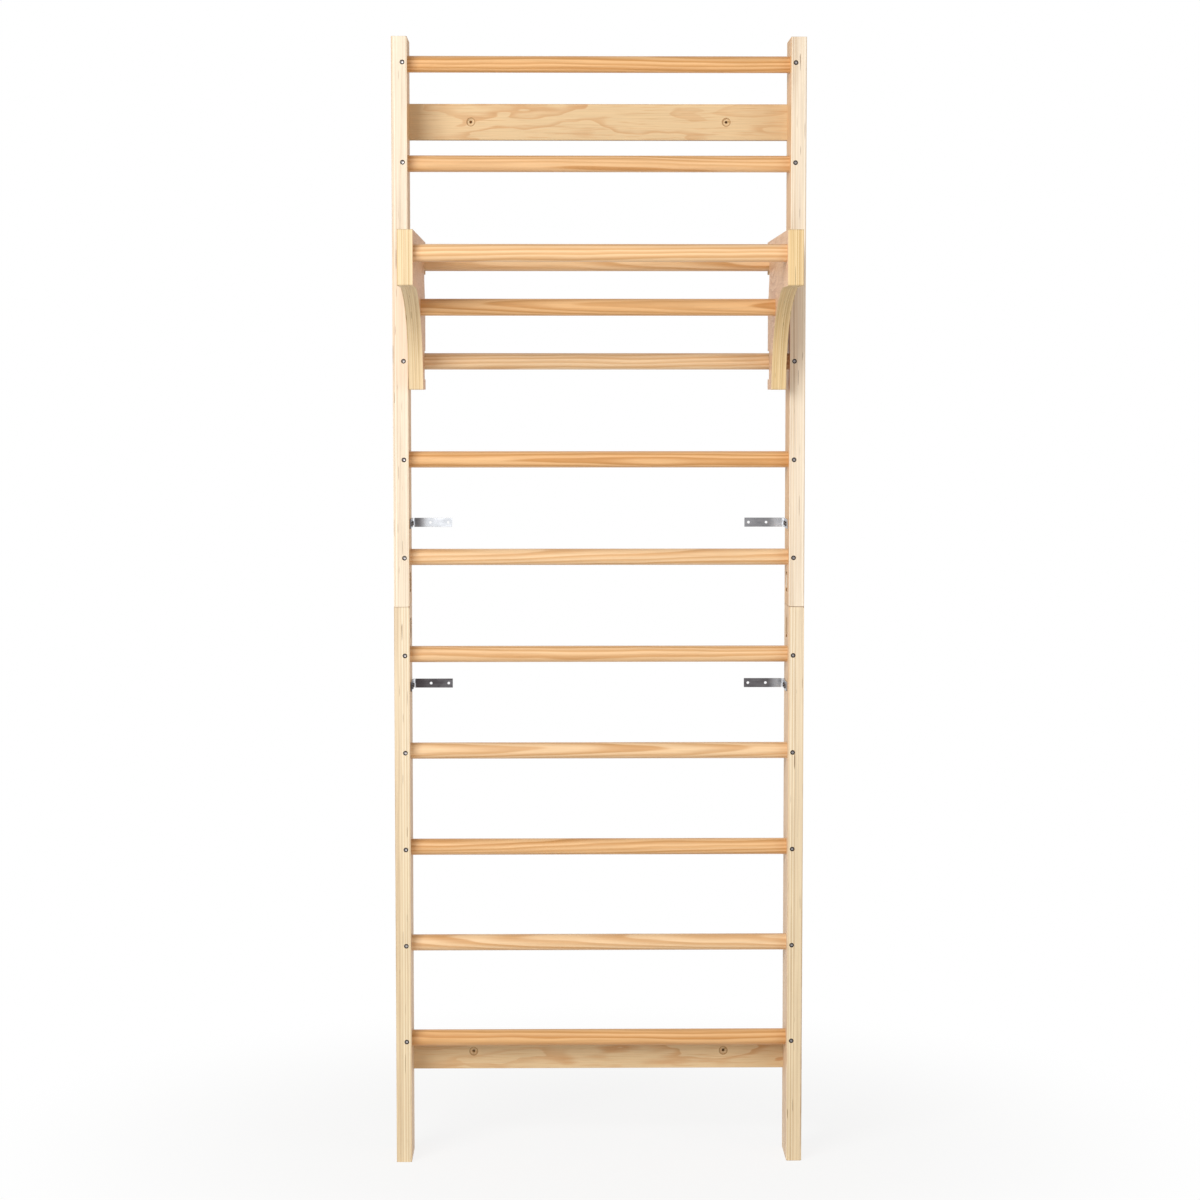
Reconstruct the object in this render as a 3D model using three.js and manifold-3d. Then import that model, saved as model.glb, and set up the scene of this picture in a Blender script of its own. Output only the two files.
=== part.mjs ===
// Swedish wall bars: a plywood ladder frame in two storeys, with round rungs screwed into its uprights,
// two wall rails, four steel wall angles and a pull-up unit that hooks over one rung and rests on the next.
// Millimetres, +Z up. The origin is on the floor, at the wall, midway between the uprights.
// The front faces -Y, so the wall is the plane Y = 0.

import * as THREE from "three";
import { mergeVertices } from "three/addons/utils/BufferGeometryUtils.js";
import Module from "manifold-3d";

const wasm = await Module();
wasm.setup();

// Fit between seated pieces
const FIT_GAP = 0.3;

// Uprights
const FRAME_WIDTH = 800;
const UPRIGHT_THICKNESS = 30;
const UPRIGHT_DEPTH = 110;
const TOP_MARGIN = 49.5; // top rung's axis to the upright's top end
const FOOT_MARGIN = 240.5; // bottom rung's axis to the floor

// Rungs, laid out evenly about the seam between the two storeys
const RUNG_DIAMETER = 32;
const RUNG_PITCH = 191;
const RUNGS_ABOVE_SEAM = 6;
const RUNGS_BELOW_SEAM = 5;
const RUNG_SETBACK = 40; // upright's front edge to the rung's axis
const RUNG_SEAT = 18; // how deep a rung goes into an upright

// Screws that go through the upright's front edge into each rung end
const RUNG_SCREW_HEAD_DIAMETER = 9;
const RUNG_SCREW_HEAD_HEIGHT = 4;
const RUNG_SCREW_SHANK_DIAMETER = 5;
const RUNG_SCREW_LENGTH = 45;
const RUNG_SCREW_SOCKET = 4; // across the flats
const RUNG_SCREW_SOCKET_DEPTH = 2.5;
const RUNG_SCREW_INSET = 9; // upright's inner face to the screw's axis
const RUNG_SCREW_SINK = 0.5; // head below the upright's front edge

// Rails that carry the frame on the wall
const RAIL_HEIGHT = 70;
const RAIL_THICKNESS = 18;
const RAIL_SEAT = 12; // how deep a rail goes into an upright
const RAIL_BELOW_TOP_RUNG = 106;
const RAIL_BELOW_BOTTOM_RUNG = 40;
const RAIL_HOLE_SPACING = 500;
const RAIL_HOLE_DIAMETER = 6;
const RAIL_HOLE_DEPTH = 14; // a pilot hole, which the wall screw is driven through
const RAIL_SINK_DIAMETER = 15;
const RAIL_SINK_DEPTH = 3;

// Steel wall angles
const ANGLE_WIDTH = 18;
const ANGLE_THICKNESS = 2.5;
const ANGLE_WALL_LEG = 80;
const ANGLE_SIDE_LEG = 80;
const ANGLE_BEND_RADIUS = 4;
const ANGLE_CORNER_RADIUS = 1.5; // inside the bend
const ANGLE_HOLE_DIAMETER = 5.5;
const ANGLE_FIRST_HOLE = 37; // from the outside of the bend
const ANGLE_SECOND_HOLE = 72;
const ANGLE_FROM_RUNG = 64.5; // away from the seam, from the rung nearest to it

// Screws that hold an angle on its upright
const ANGLE_SCREW_HEAD_DIAMETER = 8.5;
const ANGLE_SCREW_HEAD_HEIGHT = 2.6;
const ANGLE_SCREW_SHANK_DIAMETER = 4;
const ANGLE_SCREW_LENGTH = 20;
const ANGLE_SCREW_SOCKET = 3;
const ANGLE_SCREW_SOCKET_DEPTH = 1.6;

// Tie bolt that pulls two upright lengths together, with a pocket on each side of the seam
const POCKET_WIDTH = 34;
const POCKET_HEIGHT = 40;
const POCKET_DEPTH = 20;
const POCKET_CORNER_RADIUS = 10;
const POCKET_FROM_SEAM = 25; // wood left between the seam and a pocket
const POCKET_SETBACK = 55; // upright's front edge to the pocket's middle
const TIE_BOLT_DIAMETER = 8;
const TIE_BOLT_HEX = 13; // across the flats
const TIE_BOLT_HEAD_HEIGHT = 5.5;
const TIE_NUT_HEIGHT = 6.5;
const TIE_BOLT_END = 4; // thread showing past the nut
const TIE_BOLT_INSET = 10; // upright's inner face to the bolt's axis

// Pull-up unit, with its places given ahead of and above the axis of the rung that it hangs on
const HOOKED_RUNG = 3; // counted from the top
const PLATE_THICKNESS = 28;
const PLATE_SIDE_CLEARANCE = 7; // plate to upright, with the unit in the middle
const UNIT_OFFSET = -4; // the unit hangs a little off the middle
const PLATE_CROWN = 41;
const NOSE_AHEAD = 480;
const NOSE_HEIGHT = 100;
const NOSE_UNDERSIDE = 130;
const SWEEP_AHEAD = 105; // where the sweep under the nose turns down into the arm
const SWEEP_DROP = 36;
const ARM_AHEAD = 80;
const ARM_BELOW_REST = 55; // resting rung's axis to the foot of the arm
const PLATE_BEHIND = 20;
const FOOT_HEIGHT = 20;
const REST_NOTCH_RISE = 20;
const HOOK_WALL = 20;
const HOOK_TIP_DROP = 22;
const HOOK_MOUTH_TOP = 34;
const HOOK_MOUTH_BOTTOM = 88;
const BAR_SEAT = 18;
const GRIP_BAR_INSET = 30; // nose to the grip bar's axis
const BRACE_BAR_AHEAD = 166;
const BRACE_BAR_DROP = 90;

// Facets
const ROUND_SIDES = 24;
const SMALL_ROUND_SIDES = 10;
const CURVE_STEPS = 12;
const SWEEP_STEPS = 24;
const HEX_SIDES = 6;
const MERGE_TOLERANCE = 1e-4;
const CUT_PAST = 1; // how far a cutting tool runs past an open face

// Places worked out from the sizes above
const RUNG_RADIUS = RUNG_DIAMETER / 2;
const RUNG_COUNT = RUNGS_ABOVE_SEAM + RUNGS_BELOW_SEAM;
const SEAM_Z = FOOT_MARGIN + (RUNGS_BELOW_SEAM - 0.5) * RUNG_PITCH;
const TOP_Z = SEAM_Z + (RUNGS_ABOVE_SEAM - 0.5) * RUNG_PITCH + TOP_MARGIN;
const INNER_X = FRAME_WIDTH / 2 - UPRIGHT_THICKNESS;
const OUTER_X = FRAME_WIDTH / 2;
const FRONT_Y = -UPRIGHT_DEPTH;
const RUNG_Y = FRONT_Y + RUNG_SETBACK;
const SCREW_X = INNER_X + RUNG_SCREW_INSET;
const POCKET_Y = FRONT_Y + POCKET_SETBACK;
const POCKET_OFFSET = POCKET_FROM_SEAM + POCKET_HEIGHT / 2;
const PLATE_OUTER_X = INNER_X - PLATE_SIDE_CLEARANCE;
const PLATE_INNER_X = PLATE_OUTER_X - PLATE_THICKNESS;
const UPPER_RAIL_Z = rungZ(1) - RAIL_BELOW_TOP_RUNG;
const LOWER_RAIL_Z = rungZ(RUNG_COUNT) - RAIL_BELOW_BOTTOM_RUNG;
const ANGLE_OFFSET = RUNG_PITCH / 2 + ANGLE_FROM_RUNG;

const SIDES = [
  { name: "left", sign: -1 },
  { name: "right", sign: 1 },
];
const STOREYS = [
  { name: "upper", sign: 1, bottom: SEAM_Z + FIT_GAP / 2, top: TOP_Z },
  { name: "lower", sign: -1, bottom: 0, top: SEAM_Z - FIT_GAP / 2 },
];
const ANGLE_HOLES = [
  { name: "back", reach: ANGLE_FIRST_HOLE },
  { name: "front", reach: ANGLE_SECOND_HOLE },
];
const RUNG_NUMBERS = Array.from({ length: RUNG_COUNT }, (_, i) => i + 1);

// Height of a rung's axis, with rungs numbered from the top
function rungZ(number) {
  return SEAM_Z + (RUNGS_ABOVE_SEAM + 0.5 - number) * RUNG_PITCH;
}

function twoDigits(number) {
  return String(number).padStart(2, "0");
}

// Closed solids and the meshes made from them

function solidOf(geometry) {
  const bare = geometry.clone();
  bare.deleteAttribute("normal");
  bare.deleteAttribute("uv");
  const merged = mergeVertices(bare, MERGE_TOLERANCE);
  const vertProperties = new Float32Array(merged.attributes.position.array);
  const triVerts = new Uint32Array(merged.index.array);
  return new wasm.Manifold(new wasm.Mesh({ numProp: 3, vertProperties, triVerts }));
}

function geometryOf(solid) {
  const { vertProperties, triVerts } = solid.getMesh();
  const geometry = new THREE.BufferGeometry();
  geometry.setAttribute("position", new THREE.Float32BufferAttribute(vertProperties, 3));
  geometry.setIndex(new THREE.Uint32BufferAttribute(triVerts, 1));
  geometry.computeVertexNormals();
  return geometry;
}

function cut(geometry, tools) {
  const cutAway = (solid, tool) => solid.subtract(solidOf(tool));
  return geometryOf(tools.reduce(cutAway, solidOf(geometry)));
}

function box(low, high) {
  const size = high.map((value, i) => value - low[i]);
  const middle = high.map((value, i) => (value + low[i]) / 2);
  return new THREE.BoxGeometry(...size).translate(...middle);
}

// Cylinders centred on a point, along one axis

function rodX(radius, length, [x, y, z], sides = ROUND_SIDES) {
  const rod = new THREE.CylinderGeometry(radius, radius, length, sides);
  return rod.rotateZ(Math.PI / 2).translate(x, y, z);
}

function rodY(radius, length, [x, y, z], sides = SMALL_ROUND_SIDES) {
  return new THREE.CylinderGeometry(radius, radius, length, sides).translate(x, y, z);
}

function rodZ(radius, length, [x, y, z], sides = SMALL_ROUND_SIDES) {
  const rod = new THREE.CylinderGeometry(radius, radius, length, sides);
  return rod.rotateX(Math.PI / 2).translate(x, y, z);
}

// A shape drawn in the YZ plane, made into a slab that is centred on the given X
function slabX(shape, thickness, x, steps = CURVE_STEPS) {
  const slab = new THREE.ExtrudeGeometry(shape, {
    depth: thickness,
    bevelEnabled: false,
    curveSegments: steps,
  });
  const alongX = new THREE.Matrix4().makeBasis(
    new THREE.Vector3(0, 1, 0),
    new THREE.Vector3(0, 0, 1),
    new THREE.Vector3(1, 0, 0),
  );
  return slab.applyMatrix4(alongX).translate(x - thickness / 2, 0, 0);
}

function hexRadius(acrossFlats) {
  return acrossFlats / 2 / Math.cos(Math.PI / HEX_SIDES);
}

// Materials
const material = (color, roughness, metalness) => () =>
  new THREE.MeshStandardMaterial({ color, roughness, metalness });
const palePlywood = material(0xeedcb9, 0.6, 0);
const unitPlywood = material(0xdcb67a, 0.55, 0);
const railPlywood = material(0xdcbb85, 0.6, 0);
const pine = material(0xdba566, 0.5, 0);
const zinc = material(0xa9a9ad, 0.35, 0.9);
const steel = material(0x8d8b88, 0.4, 0.9);

const wallBars = new THREE.Group();

function add(name, geometry, finish, position = [0, 0, 0]) {
  const mesh = new THREE.Mesh(geometry, finish());
  mesh.name = name;
  mesh.position.set(...position);
  wallBars.add(mesh);
}

// A screw along Y, head at the front, with the underside of its head at the origin
function screw({ headDiameter, headHeight, shankDiameter, length, socket, socketDepth }) {
  const shank = shankDiameter / 2;
  const head = headDiameter / 2;
  const profile = [
    new THREE.Vector2(0, -length),
    new THREE.Vector2(shank, -length + shank),
    new THREE.Vector2(shank, 0),
    new THREE.Vector2(head, 0),
    new THREE.Vector2(head, headHeight),
    new THREE.Vector2(0, headHeight),
  ];
  const turned = new THREE.LatheGeometry(profile, SMALL_ROUND_SIDES);
  const recess = rodY(
    hexRadius(socket),
    socketDepth + CUT_PAST,
    [0, headHeight + (CUT_PAST - socketDepth) / 2, 0],
    HEX_SIDES,
  );
  return cut(turned, [recess]).rotateX(Math.PI);
}

// Uprights: one storey on one side, with its seats for rungs, screws, rails, angles and the tie bolt
function rungSeatTools(sign, number) {
  const place = [sign * INNER_X, RUNG_Y, rungZ(number)];
  const seat = rodX(RUNG_RADIUS + FIT_GAP, 2 * RUNG_SEAT, place);
  const shankHole = rodY(
    RUNG_SCREW_SHANK_DIAMETER / 2 + FIT_GAP,
    RUNG_SETBACK + CUT_PAST,
    [sign * SCREW_X, FRONT_Y + (RUNG_SETBACK - CUT_PAST) / 2, rungZ(number)],
  );
  const headDepth = RUNG_SCREW_SINK + RUNG_SCREW_HEAD_HEIGHT + FIT_GAP;
  const headHole = rodY(
    RUNG_SCREW_HEAD_DIAMETER / 2 + FIT_GAP,
    headDepth + CUT_PAST,
    [sign * SCREW_X, FRONT_Y + (headDepth - CUT_PAST) / 2, rungZ(number)],
  );
  return [seat, shankHole, headHole];
}

function railSeatTool(sign, railZ) {
  const inner = sign * (INNER_X - CUT_PAST);
  const floor = sign * (INNER_X + RAIL_SEAT);
  const halfHeight = RAIL_HEIGHT / 2 + FIT_GAP;
  return box(
    [Math.min(inner, floor), -RAIL_THICKNESS - FIT_GAP, railZ - halfHeight],
    [Math.max(inner, floor), CUT_PAST, railZ + halfHeight],
  );
}

function angleScrewTool(sign, storeySign, reach) {
  const depth = ANGLE_SCREW_LENGTH - ANGLE_THICKNESS;
  const place = [sign * INNER_X, -reach, SEAM_Z + storeySign * ANGLE_OFFSET];
  const radius = ANGLE_SCREW_SHANK_DIAMETER / 2 + FIT_GAP;
  return rodX(radius, 2 * depth, place, SMALL_ROUND_SIDES);
}

function pocketShape(z) {
  const [w, h, r] = [POCKET_WIDTH / 2, POCKET_HEIGHT / 2, POCKET_CORNER_RADIUS];
  const shape = new THREE.Shape();
  shape.absarc(POCKET_Y + w - r, z + h - r, r, 0, Math.PI / 2);
  shape.absarc(POCKET_Y - w + r, z + h - r, r, Math.PI / 2, Math.PI);
  shape.absarc(POCKET_Y - w + r, z - h + r, r, Math.PI, Math.PI * 1.5);
  shape.absarc(POCKET_Y + w - r, z - h + r, r, Math.PI * 1.5, Math.PI * 2);
  return shape;
}

function tieBoltTools(sign, storeySign) {
  const pocket = slabX(pocketShape(SEAM_Z + storeySign * POCKET_OFFSET), 2 * POCKET_DEPTH, sign * INNER_X);
  const hole = rodZ(
    TIE_BOLT_DIAMETER / 2 + FIT_GAP,
    2 * POCKET_OFFSET,
    [sign * (INNER_X + TIE_BOLT_INSET), POCKET_Y, SEAM_Z],
  );
  return [pocket, hole];
}

function upright(side, storey) {
  const inner = side.sign * INNER_X;
  const outer = side.sign * OUTER_X;
  const blank = box(
    [Math.min(inner, outer), FRONT_Y, storey.bottom],
    [Math.max(inner, outer), 0, storey.top],
  );
  return cut(blank, [
    ...RUNG_NUMBERS.flatMap((number) => rungSeatTools(side.sign, number)),
    ...[UPPER_RAIL_Z, LOWER_RAIL_Z].map((railZ) => railSeatTool(side.sign, railZ)),
    ...ANGLE_HOLES.map(({ reach }) => angleScrewTool(side.sign, storey.sign, reach)),
    ...tieBoltTools(side.sign, storey.sign),
  ]);
}

for (const storey of STOREYS) {
  for (const side of SIDES) {
    add(`upright_${storey.name}_${side.name}`, upright(side, storey), palePlywood);
  }
}

// Rungs, with a pilot hole for the screw at each end
const screwTipY = FRONT_Y + RUNG_SCREW_SINK + RUNG_SCREW_HEAD_HEIGHT + RUNG_SCREW_LENGTH;

function rung() {
  const bar = rodX(RUNG_RADIUS, 2 * (INNER_X + RUNG_SEAT - FIT_GAP), [0, 0, 0]);
  const holeEnd = screwTipY - RUNG_Y + FIT_GAP;
  const holeLength = RUNG_RADIUS + holeEnd + CUT_PAST;
  const holeRadius = RUNG_SCREW_SHANK_DIAMETER / 2 + FIT_GAP;
  const pilot = ({ sign }) => rodY(holeRadius, holeLength, [sign * SCREW_X, holeEnd - holeLength / 2, 0]);
  return cut(bar, SIDES.map(pilot));
}

for (const number of RUNG_NUMBERS) {
  add(`rung_${twoDigits(number)}`, rung(), pine, [0, RUNG_Y, rungZ(number)]);
}

const rungScrew = {
  headDiameter: RUNG_SCREW_HEAD_DIAMETER,
  headHeight: RUNG_SCREW_HEAD_HEIGHT,
  shankDiameter: RUNG_SCREW_SHANK_DIAMETER,
  length: RUNG_SCREW_LENGTH,
  socket: RUNG_SCREW_SOCKET,
  socketDepth: RUNG_SCREW_SOCKET_DEPTH,
};
const rungScrewY = FRONT_Y + RUNG_SCREW_SINK + RUNG_SCREW_HEAD_HEIGHT;

for (const side of SIDES) {
  for (const number of RUNG_NUMBERS) {
    const place = [side.sign * SCREW_X, rungScrewY, rungZ(number)];
    add(`rung_screw_${side.name}_${twoDigits(number)}`, screw(rungScrew), steel, place);
  }
}

// Wall rails, with sunk pilot holes for the wall screws
function rail() {
  const halfLength = INNER_X + RAIL_SEAT - FIT_GAP;
  const blank = box(
    [-halfLength, -RAIL_THICKNESS, -RAIL_HEIGHT / 2],
    [halfLength, 0, RAIL_HEIGHT / 2],
  );
  const tools = SIDES.flatMap(({ sign }) => {
    const bore = (diameter, depth) => {
      const middle = -RAIL_THICKNESS + (depth - CUT_PAST) / 2;
      return rodY(diameter / 2, depth + CUT_PAST, [(sign * RAIL_HOLE_SPACING) / 2, middle, 0]);
    };
    return [bore(RAIL_HOLE_DIAMETER, RAIL_HOLE_DEPTH), bore(RAIL_SINK_DIAMETER, RAIL_SINK_DEPTH)];
  });
  return cut(blank, tools);
}

add("rail_upper", rail(), railPlywood, [0, 0, UPPER_RAIL_Z]);
add("rail_lower", rail(), railPlywood, [0, 0, LOWER_RAIL_Z]);

// Wall angles: one leg on the upright's inner face, the other on the wall, with the bend at the origin
function angle(sign) {
  const [t, r] = [ANGLE_THICKNESS, ANGLE_BEND_RADIUS];
  const outline = new THREE.Shape();
  const x = (value) => -sign * value;
  outline.moveTo(x(ANGLE_WALL_LEG), 0);
  outline.lineTo(x(r), 0);
  outline.quadraticCurveTo(0, 0, 0, -r);
  outline.lineTo(0, -ANGLE_SIDE_LEG);
  outline.lineTo(x(t), -ANGLE_SIDE_LEG);
  outline.lineTo(x(t), -t - ANGLE_CORNER_RADIUS);
  outline.quadraticCurveTo(x(t), -t, x(t + ANGLE_CORNER_RADIUS), -t);
  outline.lineTo(x(ANGLE_WALL_LEG), -t);
  const strip = new THREE.ExtrudeGeometry(outline, {
    depth: ANGLE_WIDTH,
    bevelEnabled: false,
    curveSegments: CURVE_STEPS / 2,
  }).translate(0, 0, -ANGLE_WIDTH / 2);
  const radius = ANGLE_HOLE_DIAMETER / 2;
  const length = 2 * t + 2 * CUT_PAST;
  const holes = ANGLE_HOLES.flatMap(({ reach }) => [
    rodY(radius, length, [x(reach), 0, 0]),
    rodX(radius, length, [0, -reach, 0], SMALL_ROUND_SIDES),
  ]);
  return cut(strip, holes);
}

const angleScrew = {
  headDiameter: ANGLE_SCREW_HEAD_DIAMETER,
  headHeight: ANGLE_SCREW_HEAD_HEIGHT,
  shankDiameter: ANGLE_SCREW_SHANK_DIAMETER,
  length: ANGLE_SCREW_LENGTH,
  socket: ANGLE_SCREW_SOCKET,
  socketDepth: ANGLE_SCREW_SOCKET_DEPTH,
};

for (const storey of STOREYS) {
  for (const side of SIDES) {
    const where = `${storey.name}_${side.name}`;
    const angleX = INNER_X - FIT_GAP;
    const angleZ = SEAM_Z + storey.sign * ANGLE_OFFSET;
    add(`angle_${where}`, angle(side.sign), zinc, [side.sign * angleX, 0, angleZ]);
    for (const { name, reach } of ANGLE_HOLES) {
      const turned = screw(angleScrew).rotateZ((-side.sign * Math.PI) / 2);
      const headX = side.sign * (angleX - ANGLE_THICKNESS - FIT_GAP);
      add(`angle_screw_${where}_${name}`, turned, steel, [headX, -reach, angleZ]);
    }
  }
}

// Tie bolts and nuts across the seam, each bearing on the seam side of its pocket
function tieBolt() {
  const bearing = POCKET_FROM_SEAM + FIT_GAP;
  const shankEnd = bearing + TIE_NUT_HEIGHT + TIE_BOLT_END;
  const head = rodZ(
    hexRadius(TIE_BOLT_HEX),
    TIE_BOLT_HEAD_HEIGHT,
    [0, 0, -bearing - TIE_BOLT_HEAD_HEIGHT / 2],
    HEX_SIDES,
  );
  const shankStart = -bearing - TIE_BOLT_HEAD_HEIGHT / 2;
  const shank = rodZ(TIE_BOLT_DIAMETER / 2, shankEnd - shankStart, [0, 0, (shankEnd + shankStart) / 2]);
  return geometryOf(solidOf(head).add(solidOf(shank)));
}

function tieNut() {
  const middle = [0, 0, POCKET_FROM_SEAM + FIT_GAP + TIE_NUT_HEIGHT / 2];
  const blank = rodZ(hexRadius(TIE_BOLT_HEX), TIE_NUT_HEIGHT, middle, HEX_SIDES);
  return cut(blank, [rodZ(TIE_BOLT_DIAMETER / 2 + FIT_GAP, TIE_NUT_HEIGHT + 2 * CUT_PAST, middle)]);
}

for (const side of SIDES) {
  const place = [side.sign * (INNER_X + TIE_BOLT_INSET), POCKET_Y, SEAM_Z];
  add(`tie_bolt_${side.name}`, tieBolt(), steel, place);
  add(`tie_nut_${side.name}`, tieNut(), steel, place);
}

// Pull-up unit. Its plate is drawn about the hooked rung's axis, with the front at -Y.
function plateShape() {
  const slot = RUNG_RADIUS + FIT_GAP;
  const noseBottom = PLATE_CROWN - NOSE_HEIGHT;
  const armBottom = -RUNG_PITCH - ARM_BELOW_REST;
  const sweepStart = NOSE_AHEAD - NOSE_UNDERSIDE;
  const hookBack = slot + HOOK_WALL;
  const shape = new THREE.Shape();
  shape.moveTo(-NOSE_AHEAD, PLATE_CROWN);
  shape.lineTo(-NOSE_AHEAD, noseBottom);
  shape.lineTo(-sweepStart, noseBottom);
  shape.quadraticCurveTo(-SWEEP_AHEAD, noseBottom - SWEEP_DROP, -ARM_AHEAD, armBottom);
  shape.lineTo(PLATE_BEHIND, armBottom);
  shape.lineTo(PLATE_BEHIND, armBottom + FOOT_HEIGHT);
  shape.lineTo(-slot, armBottom + FOOT_HEIGHT);
  shape.lineTo(-slot, -RUNG_PITCH + REST_NOTCH_RISE);
  shape.lineTo(PLATE_BEHIND, -RUNG_PITCH + REST_NOTCH_RISE);
  shape.lineTo(PLATE_BEHIND, -HOOK_MOUTH_BOTTOM);
  shape.lineTo(-slot, -HOOK_MOUTH_TOP);
  shape.lineTo(-slot, 0);
  shape.absarc(0, 0, slot, Math.PI, 0, true);
  shape.lineTo(slot, -HOOK_TIP_DROP);
  shape.lineTo(hookBack, -HOOK_TIP_DROP);
  shape.lineTo(hookBack, PLATE_CROWN);
  return shape;
}

const GRIP_BAR = [0, -(NOSE_AHEAD - GRIP_BAR_INSET), 0];
const BRACE_BAR = [0, -BRACE_BAR_AHEAD, -BRACE_BAR_DROP];

function plate(sign) {
  const middle = (sign * (PLATE_INNER_X + PLATE_OUTER_X)) / 2;
  const slab = slabX(plateShape(), PLATE_THICKNESS, middle, SWEEP_STEPS);
  const seats = [GRIP_BAR, BRACE_BAR].map(([, y, z]) =>
    rodX(RUNG_RADIUS + FIT_GAP, 2 * BAR_SEAT, [sign * PLATE_INNER_X, y, z]),
  );
  return cut(slab, seats);
}

function unitBar(place) {
  return rodX(RUNG_RADIUS, 2 * (PLATE_INNER_X + BAR_SEAT - FIT_GAP), place);
}

const hookPlace = [UNIT_OFFSET, RUNG_Y, rungZ(HOOKED_RUNG)];
for (const side of SIDES) {
  add(`pull_up_plate_${side.name}`, plate(side.sign), unitPlywood, hookPlace);
}
add("pull_up_grip_bar", unitBar(GRIP_BAR), pine, hookPlace);
add("pull_up_brace_bar", unitBar(BRACE_BAR), pine, hookPlace);

export default wallBars;
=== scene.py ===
"""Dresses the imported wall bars: plywood uprights, rails and plates, pine rungs, zinc and steel fittings."""

import math

import bmesh
import bpy
from mathutils import Matrix, Vector


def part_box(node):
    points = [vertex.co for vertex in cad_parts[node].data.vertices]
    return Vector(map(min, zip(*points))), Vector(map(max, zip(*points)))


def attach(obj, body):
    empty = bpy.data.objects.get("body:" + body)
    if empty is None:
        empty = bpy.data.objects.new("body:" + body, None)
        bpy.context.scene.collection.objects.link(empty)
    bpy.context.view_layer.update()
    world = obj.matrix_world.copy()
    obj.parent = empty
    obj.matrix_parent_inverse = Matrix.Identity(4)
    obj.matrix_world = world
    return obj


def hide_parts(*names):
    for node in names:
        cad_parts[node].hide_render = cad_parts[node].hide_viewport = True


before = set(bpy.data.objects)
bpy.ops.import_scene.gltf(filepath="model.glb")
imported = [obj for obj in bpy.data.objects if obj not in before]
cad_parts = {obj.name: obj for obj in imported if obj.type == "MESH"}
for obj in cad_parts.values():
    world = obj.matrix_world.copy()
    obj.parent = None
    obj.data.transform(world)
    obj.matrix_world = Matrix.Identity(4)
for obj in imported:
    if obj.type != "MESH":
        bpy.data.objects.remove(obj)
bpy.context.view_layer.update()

MM = 0.001
X, Y, Z = 0, 1, 2

# Bodies, and the names that the frame gives to repeated pieces
FRAME_BODY = "frame"
UNIT_BODY = "pull_up_unit"
SIDES = {"left": -1, "right": 1}
STOREYS = ("upper", "lower")
RUNGS = [f"{number:02d}" for number in range(1, 12)]

# Camera, in metres, degrees and lens millimetres: level with the top third and looking slightly down
CAMERA_PLACE = (-0.082, -5.808, 1.543)
CAMERA_YAW = -0.84
CAMERA_PITCH = -4.31
CAMERA_LENS = 87.94
CAMERA_SENSOR = 36.0
CAMERA_REACH = 200

# Rounded edges
UPRIGHT_EDGE = 2.5 * MM
UPRIGHT_END_EDGE = 1.8 * MM
RAIL_EDGE = 1.2 * MM
SINK_EDGE = 0.6 * MM
PLATE_EDGE = 1.3 * MM
PLATE_CORNER = 3.0 * MM
BORE_REACH = 20 * MM
ANGLE_EDGE = 0.4 * MM
EDGE_STEPS = 3
ROUND_PROFILE = 0.5
SMOOTH_BELOW = math.radians(38)
SHARP_EDGE = math.radians(50)
FLAT_ANGLE = math.radians(0.5)
WELD = 0.01 * MM
ON_FACE = 0.05 * MM

# Turned pieces
ROD_SIDES = 72
SCREW_SIDES = 40
HEX_SIDES = 6
ROD_END_EDGE = 1.0 * MM
SEAT_LENGTH = 18.5 * MM
PILOT_RADIUS = 2.75 * MM
FIT_GAP = 0.3 * MM

# Screws and bolts
RUNG_SCREW = {
    "head": 4.5 * MM, "height": 4.0 * MM, "shank": 2.5 * MM, "socket": 4.0 * MM, "deep": 2.5 * MM,
}
ANGLE_SCREW = {
    "head": 4.25 * MM, "height": 2.6 * MM, "shank": 2.0 * MM, "socket": 3.0 * MM, "deep": 1.6 * MM,
}
HEAD_ROUNDING = 0.9 * MM
SHANK_TIP = 3.0 * MM
SHANK_POINT = 0.5 * MM
SOCKET_CONE = 0.6 * MM
HEX_ACROSS = 13 * MM
HEX_EDGE = 0.7 * MM
BOLT_RADIUS = 4.0 * MM
BOLT_HEAD = 5.5 * MM
THREAD_PITCH = 1.25 * MM
THREAD_DEPTH = 0.65 * MM
THREAD_LENGTH = 22 * MM
NUT_BORE = 4.25 * MM

# Plies, and sliced grain: scales per metre along and across it, its lines, and where their veins start
UPRIGHT_PLY = 2.6 * MM
UNIT_PLY = 1.9 * MM
RAIL_PLY = 1.8 * MM
BROAD_SLICING = {"scale": (2.3, 15.0), "lines": 10.0, "vein": 0.10}
RAIL_SLICING = {"scale": (4.0, 18.0), "lines": 5.0, "vein": 0.60}

# A thin dark ring round each of the two holes of a rail
HOLES_APART = 500 * MM
MARK_RADIUS = 8.0 * MM
MARK_WIDTH = 1.0 * MM
MARK_CORE = 0.3 * MARK_WIDTH
MARK_DEPTH = 0.75

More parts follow.
